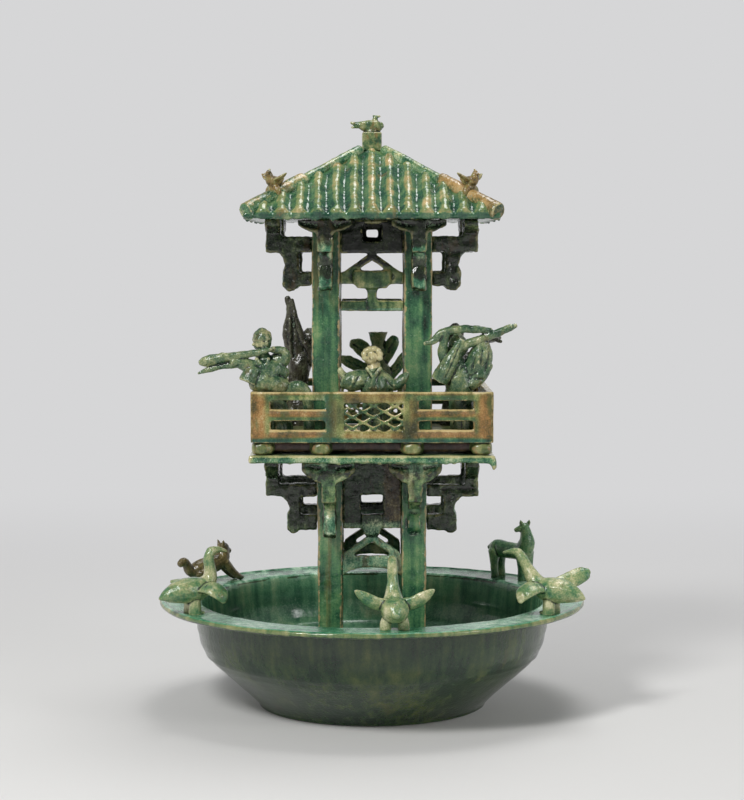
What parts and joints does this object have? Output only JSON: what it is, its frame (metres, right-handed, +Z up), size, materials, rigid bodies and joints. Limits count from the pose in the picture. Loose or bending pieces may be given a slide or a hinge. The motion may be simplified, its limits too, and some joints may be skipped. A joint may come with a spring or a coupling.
{
  "type": "pottery watchtower model",
  "caption": "Green-glazed pottery watchtower with a railed balcony, bracket arms and a tiled roof, standing in a wide-rimmed basin with animals on its rim.",
  "frame": {"origin": "middle of the basin's underside", "axes": "+Z up through the roof's top, -Y towards the front with the pictured railing, +X to its right"},
  "size_m": [0.424, 0.424, 0.5865],
  "materials": {
    "green_glaze": "glossy lead glaze, streaked green",
    "figure_glaze": "glossy lead glaze, streaked green",
    "amber_glaze": "glossy amber and brown glaze",
    "dark_glaze": "glossy lead glaze, deep green",
    "pale_glaze": "thin weathered glaze",
    "tile_glaze": "green glaze with cream crowns",
    "bare_clay": "matte fired clay with thin glaze"
  },
  "bodies": {
    "basin_body": {"basin": "dark_glaze", "goose_left": "figure_glaze", "goose_front": "figure_glaze", "goose_right": "figure_glaze", "dog": "figure_glaze", "deer": "figure_glaze"},
    "lower_storey": {"lower_post_front_left": "green_glaze", "lower_post_front_right": "green_glaze", "lower_post_back_right": "green_glaze", "lower_post_back_left": "green_glaze", "lower_frame_front": "green_glaze", "lower_frame_right": "green_glaze", "lower_frame_back": "green_glaze", "lower_frame_left": "green_glaze", "lower_bracket_front_left": "green_glaze", "lower_bracket_front_right": "green_glaze", "lower_bracket_right_front": "green_glaze", "lower_bracket_right_back": "green_glaze", "lower_bracket_back_right": "green_glaze", "lower_bracket_back_left": "green_glaze", "lower_bracket_left_back": "green_glaze", "lower_bracket_left_front": "green_glaze", "deck_slab": "pale_glaze"},
    "upper_storey": {"balcony_floor": "bare_clay", "railing_front": "amber_glaze", "railing_right": "amber_glaze", "railing_back": "amber_glaze", "railing_left": "amber_glaze", "upper_post_front_left": "green_glaze", "upper_post_front_right": "green_glaze", "upper_post_back_right": "green_glaze", "upper_post_back_left": "green_glaze", "upper_frame_front": "green_glaze", "upper_frame_right": "green_glaze", "upper_frame_back": "green_glaze", "upper_frame_left": "green_glaze", "upper_bracket_front_left": "green_glaze", "upper_bracket_front_right": "green_glaze", "upper_bracket_right_front": "green_glaze", "upper_bracket_right_back": "green_glaze", "upper_bracket_back_right": "green_glaze", "upper_bracket_back_left": "green_glaze", "upper_bracket_left_back": "green_glaze", "upper_bracket_left_front": "green_glaze", "archer_front_left": "figure_glaze", "archer_front_right": "figure_glaze", "archer_back_right": "figure_glaze", "archer_back_left": "figure_glaze", "dancer_front": "figure_glaze", "dancer_back": "figure_glaze"},
    "roof_body": {"roof": "tile_glaze", "hip_roll_front_left": "pale_glaze", "hip_roll_front_right": "pale_glaze", "hip_roll_back_right": "pale_glaze", "hip_roll_back_left": "pale_glaze", "hip_bird_front_left": "dark_glaze", "hip_bird_front_right": "dark_glaze", "hip_bird_back_right": "dark_glaze", "hip_bird_back_left": "dark_glaze", "finial": "dark_glaze"}
  },
  "joints": [
    {"name": "tower_lift", "type": "slide", "parent": "basin_body", "child": "lower_storey", "axis": [0, 0, 1], "range_m": [0, 0.12]},
    {"name": "upper_lift", "type": "slide", "parent": "lower_storey", "child": "upper_storey", "axis": [0, 0, 1], "range_m": [0, 0.1]},
    {"name": "roof_lift", "type": "slide", "parent": "upper_storey", "child": "roof_body", "axis": [0, 0, 1], "range_m": [0, 0.08]}
  ]
}
